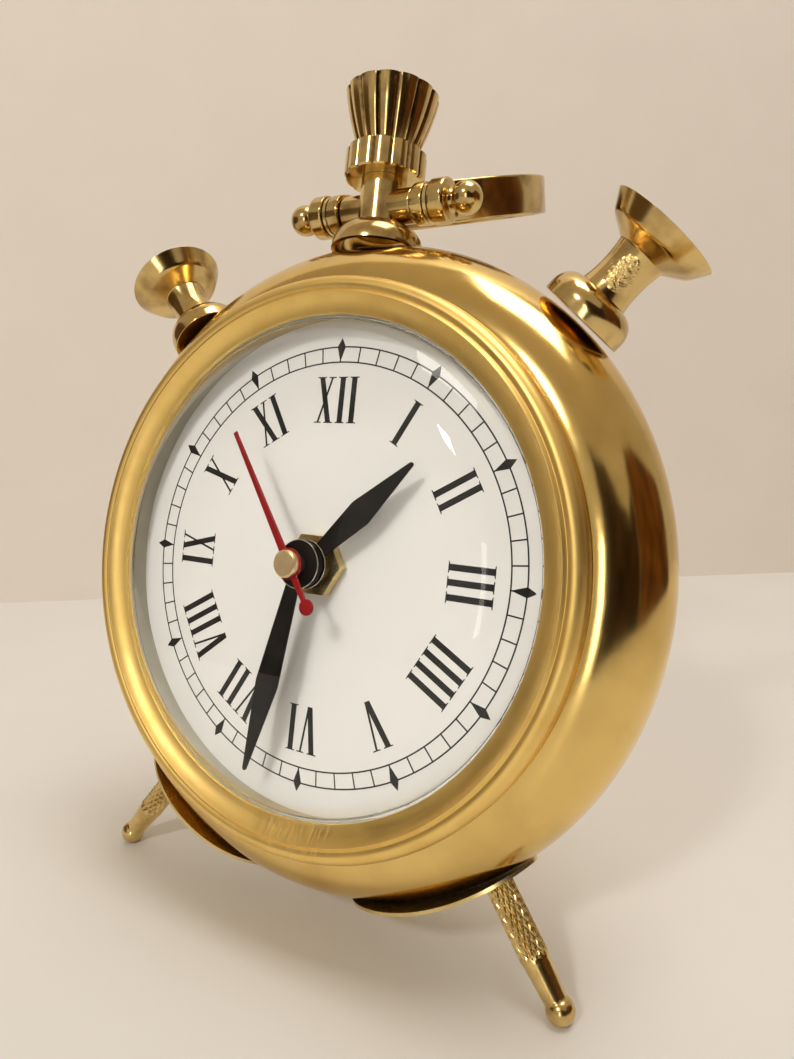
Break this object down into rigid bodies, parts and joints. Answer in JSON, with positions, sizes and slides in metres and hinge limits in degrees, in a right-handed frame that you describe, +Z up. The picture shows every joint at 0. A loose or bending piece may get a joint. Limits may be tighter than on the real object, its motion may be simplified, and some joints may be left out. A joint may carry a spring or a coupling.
{
  "type": "table clock",
  "caption": "Leaning brass table clock shaped like a pocket watch, with ball feet, fluted crown, swinging strap bow, trumpet ornaments and a geared quartz movement.",
  "frame": {"origin": "on the table, under the middle of the bounding box", "axes": "+X to the viewer's right facing the dial, +Y from the dial to the back, +Z up"},
  "size_m": [0.1462, 0.1042, 0.1885],
  "materials": {
    "polished_brass": "polished and lacquered",
    "satin_brass": "turned satin",
    "clear_glass": "clear, polished",
    "white_dial": "satin white enamel paint",
    "grey_green_plastic": "matt",
    "black_hands": "black satin paint",
    "red_hand": "red paint",
    "steel": "zinc plated",
    "black_plastic": "moulded",
    "grey_plastic": "moulded",
    "black_rubber": "matt",
    "white_nylon": "moulded",
    "magnet": "pressed ferrite",
    "motor_iron": "stamped sheet",
    "copper_wire": "enamelled copper wire",
    "green_board": "solder mask",
    "battery_sleeve": "printed sleeve, plain"
  },
  "bodies": {
    "clock": {"case_shell": "polished_brass", "crown_seat": "polished_brass", "crown_stem": "polished_brass", "crown": "polished_brass", "bow_screw_left": "polished_brass", "bow_screw_right": "polished_brass", "bow_washers": "polished_brass", "pusher_left": "polished_brass", "pusher_right": "polished_brass", "pusher_collar_left": "polished_brass", "pusher_collar_right": "polished_brass", "foot_left": "polished_brass", "foot_right": "polished_brass", "foot_rear": "polished_brass", "foot_plate_left": "polished_brass", "foot_plate_right": "polished_brass", "hex_nut": "polished_brass", "stem_washer": "polished_brass", "movement_stem": "polished_brass", "bezel": "satin_brass", "glass": "clear_glass", "dial": "white_dial", "spacer_ring": "grey_green_plastic", "retaining_ring": "steel", "case_nuts": "steel", "battery_contacts": "steel", "movement_front": "black_plastic", "movement_back": "grey_plastic", "movement_gasket": "black_rubber", "stator": "motor_iron", "coil": "copper_wire", "circuit_board": "green_board", "battery": "battery_sleeve"},
    "bow": {"bow": "polished_brass"},
    "back_lid": {"rear_cover": "polished_brass"},
    "seconds": {"second_hand": "red_hand", "second_cap": "polished_brass", "second_wheel": "white_nylon"},
    "minutes": {"minute_hand": "black_hands", "minute_wheel": "white_nylon"},
    "hours": {"hour_hand": "black_hands", "hour_wheel": "white_nylon"},
    "third": {"third_wheel": "white_nylon"},
    "intermediate": {"intermediate_wheel": "white_nylon"},
    "motor": {"rotor": "magnet"},
    "motion": {"motion_wheel": "white_nylon"},
    "setter": {"setting_knob": "white_nylon"}
  },
  "joints": [
    {"name": "second_hand_turn", "type": "hinge", "parent": "clock", "child": "seconds", "pos_m": [0, -0.02079, 0.07994], "axis": [0, 0.9796, -0.2011], "continuous": true},
    {"name": "minute_hand_turn", "type": "hinge", "parent": "clock", "child": "minutes", "pos_m": [0, -0.02079, 0.07994], "axis": [0, 0.9796, -0.2011], "continuous": true},
    {"name": "hour_hand_turn", "type": "hinge", "parent": "clock", "child": "hours", "pos_m": [0, -0.02079, 0.07994], "axis": [0, 0.9796, -0.2011], "continuous": true},
    {"name": "third_wheel_turn", "type": "hinge", "parent": "clock", "child": "third", "pos_m": [-0.01064, -0.02041, 0.08178], "axis": [0, 0.9796, -0.2011], "continuous": true},
    {"name": "intermediate_wheel_turn", "type": "hinge", "parent": "clock", "child": "intermediate", "pos_m": [0.00546, -0.01889, 0.08921], "axis": [0, 0.9796, -0.2011], "continuous": true},
    {"name": "rotor_turn", "type": "hinge", "parent": "clock", "child": "motor", "pos_m": [0.00421, -0.01746, 0.09616], "axis": [0, 0.9796, -0.2011], "continuous": true},
    {"name": "motion_wheel_turn", "type": "hinge", "parent": "clock", "child": "motion", "pos_m": [0.00846, -0.02141, 0.07693], "axis": [0, 0.9796, -0.2011], "continuous": true},
    {"name": "setting_knob_turn", "type": "hinge", "parent": "clock", "child": "setter", "pos_m": [0.01691, -0.02203, 0.07391], "axis": [0, 0.9796, -0.2011], "continuous": true},
    {"name": "bow_swing", "type": "hinge", "parent": "clock", "child": "bow", "pos_m": [0, -0.0042, 0.16076], "axis": [1, 0, 0], "range_deg": [-50, 182]},
    {"name": "back_lid_pull", "type": "slide", "parent": "clock", "child": "back_lid", "axis": [0, 0.9796, -0.2011], "range_m": [0, 0.012]}
  ],
  "couplings": [
    {"joint": "minute_hand_turn", "follows": "second_hand_turn", "ratio": 0.016667},
    {"joint": "hour_hand_turn", "follows": "second_hand_turn", "ratio": 0.0013889},
    {"joint": "third_wheel_turn", "follows": "second_hand_turn", "ratio": -0.13333},
    {"joint": "intermediate_wheel_turn", "follows": "second_hand_turn", "ratio": -6},
    {"joint": "rotor_turn", "follows": "second_hand_turn", "ratio": 30},
    {"joint": "motion_wheel_turn", "follows": "second_hand_turn", "ratio": -0.0055556},
    {"joint": "setting_knob_turn", "follows": "second_hand_turn", "ratio": 0.016667}
  ]
}
